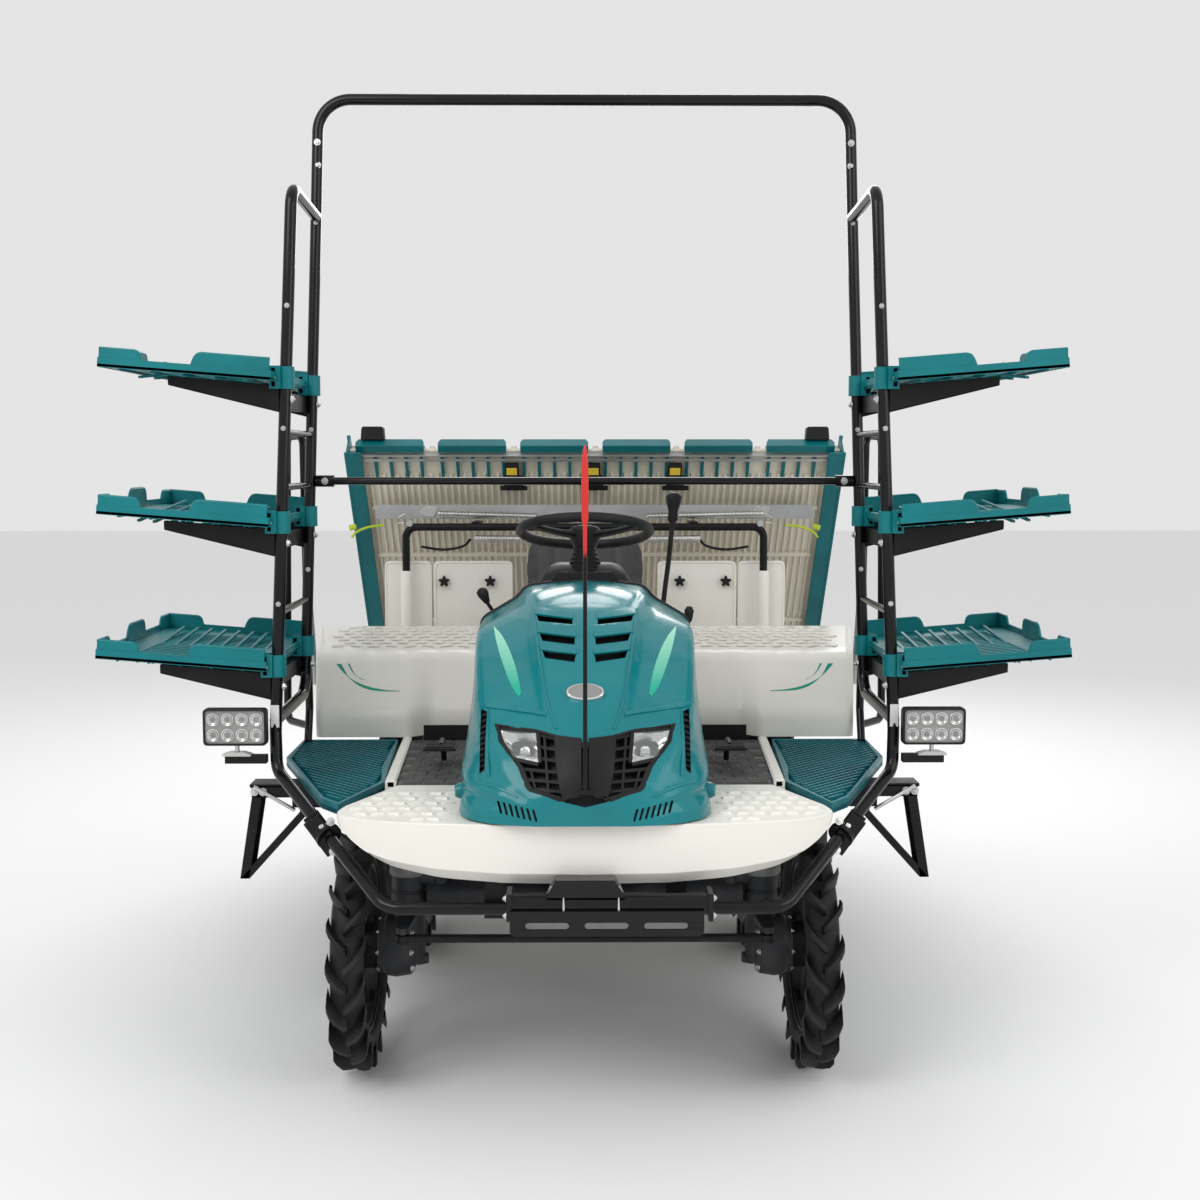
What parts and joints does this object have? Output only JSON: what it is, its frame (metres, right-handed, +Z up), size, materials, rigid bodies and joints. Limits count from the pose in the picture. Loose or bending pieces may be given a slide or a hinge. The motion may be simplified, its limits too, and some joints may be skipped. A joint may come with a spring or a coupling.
{
  "type": "rice transplanter",
  "caption": "Riding rice transplanter with steered front wheels, tilting bonnet, seedling racks beside the seat and a lifting planting unit with a sliding seedling stage.",
  "frame": {"origin": "on the ground under the middle of the machine's outside box, with the wheels standing on z = 0", "axes": "+Z up, the machine drives towards -Y, +X is on its left side"},
  "size_m": [2.5578, 3.0722, 2.669],
  "materials": {
    "bonnet_teal": "gloss",
    "case_dark": "satin",
    "case_grey": "cast",
    "cream_plastic": "gloss cream white",
    "dark_plastic": "grained",
    "engine_iron": "rough",
    "float_plastic": "moulded",
    "frame_black": "satin black",
    "galvanised": "zinc",
    "lamp_black": "satin",
    "lamp_glass": "clear",
    "mat_rubber": "moulded",
    "rim_black": "satin",
    "rod_chrome": "polished",
    "seat_vinyl": "black vinyl",
    "stage_teal": "dark green",
    "step_teal": "satin teal",
    "tray_teal": "moulded",
    "tube_black": "gloss black",
    "tyre": "matt",
    "wheel_grip": "soft"
  },
  "bodies": {
    "chassis": {"chassis_frame": "frame_black", "engine": "engine_iron", "transmission_case": "case_grey", "front_axle": "case_dark", "rear_axle_case": "case_grey", "front_guard": "tube_black", "bumper": "tube_black", "front_deck": "cream_plastic", "floor_deck": "cream_plastic", "floor_mats": "mat_rubber", "side_steps": "step_teal", "step_brackets": "frame_black", "rear_cover": "cream_plastic", "seat_base": "dark_plastic", "seat_cushion": "seat_vinyl", "seat_backrest": "seat_vinyl", "dash_cowl": "dark_plastic", "controls": "tube_black", "rack_posts": "tube_black", "top_hoop": "tube_black", "brace_bar": "tube_black", "seedling_trays": "tray_teal", "tray_arms": "frame_black", "work_lamps": "lamp_black"},
    "bonnet": {"bonnet_shell": "bonnet_teal", "bonnet_grille": "dark_plastic", "headlights": "lamp_glass"},
    "sight_pole": {"sight_pole": "tube_black"},
    "steering_wheel": {"steering_wheel": "wheel_grip"},
    "knuckle_left": {"knuckle_left": "case_dark"},
    "knuckle_right": {"knuckle_right": "case_dark"},
    "front_wheel_left": {"front_rim_left": "rim_black", "front_tyre_left": "tyre"},
    "front_wheel_right": {"front_rim_right": "rim_black", "front_tyre_right": "tyre"},
    "rear_wheel_left": {"rear_rim_left": "rim_black", "rear_tyre_left": "tyre"},
    "rear_wheel_right": {"rear_rim_right": "rim_black", "rear_tyre_right": "tyre"},
    "tie_rod": {"tie_rod": "tube_black"},
    "lower_link": {"lower_link": "frame_black"},
    "upper_link": {"upper_link": "frame_black"},
    "lift_cylinder": {"lift_cylinder": "frame_black"},
    "lift_rod": {"lift_rod": "rod_chrome"},
    "planter": {"planter_frame": "frame_black", "planting_cases": "case_grey", "floats": "float_plastic", "guard_panels": "cream_plastic"},
    "seedling_stage": {"stage_plate": "cream_plastic", "stage_sides": "stage_teal", "stage_caps": "bonnet_teal", "stage_blocks": "dark_plastic", "stage_rail": "galvanised"},
    "rotors": {"planting_rotors": "case_grey"},
    "arms_a": {"planting_arms_a": "case_grey"},
    "arms_b": {"planting_arms_b": "case_grey"},
    "marker_left": {"row_marker_left": "galvanised"},
    "marker_right": {"row_marker_right": "galvanised"}
  },
  "joints": [
    {"name": "bonnet_open", "type": "hinge", "parent": "chassis", "child": "bonnet", "pos_m": [0, -1.508, 0.757], "axis": [1, 0, 0], "range_deg": [0, 50]},
    {"name": "sight_pole_fold", "type": "hinge", "parent": "bonnet", "child": "sight_pole", "pos_m": [0, -1.524, 0.842], "axis": [1, 0, 0], "range_deg": [0, 85]},
    {"name": "steer_left", "type": "hinge", "parent": "chassis", "child": "knuckle_left", "pos_m": [0.47, -1.04, 0.45], "axis": [0, 0, 1], "range_deg": [-40, 40]},
    {"name": "steer_right", "type": "hinge", "parent": "chassis", "child": "knuckle_right", "pos_m": [-0.47, -1.04, 0.45], "axis": [0, 0, 1], "range_deg": [-40, 40]},
    {"name": "steering_wheel_turn", "type": "hinge", "parent": "chassis", "child": "steering_wheel", "pos_m": [0, -0.6, 1.412], "axis": [0, 0.2588, 0.9659], "range_deg": [-480, 480]},
    {"name": "tie_rod_ball", "type": "hinge", "parent": "knuckle_left", "child": "tie_rod", "pos_m": [0.47, -1.2, 0.391], "axis": [0, 0, 1], "range_deg": [-42, 42]},
    {"name": "front_left_spin", "type": "hinge", "parent": "knuckle_left", "child": "front_wheel_left", "pos_m": [0.6, -1.04, 0.325], "axis": [1, 0, 0], "continuous": true},
    {"name": "front_right_spin", "type": "hinge", "parent": "knuckle_right", "child": "front_wheel_right", "pos_m": [-0.6, -1.04, 0.325], "axis": [1, 0, 0], "continuous": true},
    {"name": "rear_left_spin", "type": "hinge", "parent": "chassis", "child": "rear_wheel_left", "pos_m": [0.585, 0.01, 0.45], "axis": [1, 0, 0], "continuous": true},
    {"name": "rear_right_spin", "type": "hinge", "parent": "chassis", "child": "rear_wheel_right", "pos_m": [-0.585, 0.01, 0.45], "axis": [1, 0, 0], "continuous": true},
    {"name": "lower_link_lift", "type": "hinge", "parent": "chassis", "child": "lower_link", "pos_m": [0, 0.3, 0.42], "axis": [1, 0, 0], "range_deg": [-33, 0]},
    {"name": "upper_link_lift", "type": "hinge", "parent": "chassis", "child": "upper_link", "pos_m": [0, 0.22, 0.8], "axis": [1, 0, 0], "range_deg": [-33, 0]},
    {"name": "planter_level", "type": "hinge", "parent": "lower_link", "child": "planter", "pos_m": [0, 0.77128, 0.63976], "axis": [1, 0, 0], "range_deg": [0, 33]},
    {"name": "lift_cylinder_tilt", "type": "hinge", "parent": "chassis", "child": "lift_cylinder", "pos_m": [0, -0.24, 0.66], "axis": [1, 0, 0], "range_deg": [-3, 3]},
    {"name": "lift_rod_slide", "type": "slide", "parent": "lift_cylinder", "child": "lift_rod", "axis": [0, 0.9996, 0.0292], "range_m": [-0.085, 0]},
    {"name": "stage_slide", "type": "slide", "parent": "planter", "child": "seedling_stage", "axis": [1, 0, 0], "range_m": [-0.178, 0.102]},
    {"name": "rotor_spin", "type": "hinge", "parent": "planter", "child": "rotors", "pos_m": [0, 1.36, 0.5], "axis": [1, 0, 0], "continuous": true},
    {"name": "arms_a_level", "type": "hinge", "parent": "rotors", "child": "arms_a", "pos_m": [0, 1.3975, 0.56495], "axis": [1, 0, 0], "continuous": true},
    {"name": "arms_b_level", "type": "hinge", "parent": "rotors", "child": "arms_b", "pos_m": [0, 1.3225, 0.43505], "axis": [1, 0, 0], "continuous": true},
    {"name": "marker_left_fold", "type": "hinge", "parent": "planter", "child": "marker_left", "pos_m": [0.925, 1.02, 0.655], "axis": [0, 1, 0], "range_deg": [0, 95]},
    {"name": "marker_right_fold", "type": "hinge", "parent": "planter", "child": "marker_right", "pos_m": [-0.925, 1.02, 0.655], "axis": [0, -1, 0], "range_deg": [0, 95]}
  ],
  "couplings": [
    {"joint": "steer_right", "follows": "steer_left", "ratio": 1},
    {"joint": "steering_wheel_turn", "follows": "steer_left", "ratio": 12},
    {"joint": "tie_rod_ball", "follows": "steer_left", "ratio": -1},
    {"joint": "upper_link_lift", "follows": "lower_link_lift", "ratio": 1},
    {"joint": "planter_level", "follows": "lower_link_lift", "ratio": -1},
    {"joint": "lift_cylinder_tilt", "follows": "lower_link_lift", "ratio": 0.01671},
    {"joint": "lift_rod_slide", "follows": "lower_link_lift", "m_per_rad": 0.12993},
    {"joint": "arms_a_level", "follows": "rotor_spin", "ratio": -1},
    {"joint": "arms_b_level", "follows": "rotor_spin", "ratio": -1}
  ]
}
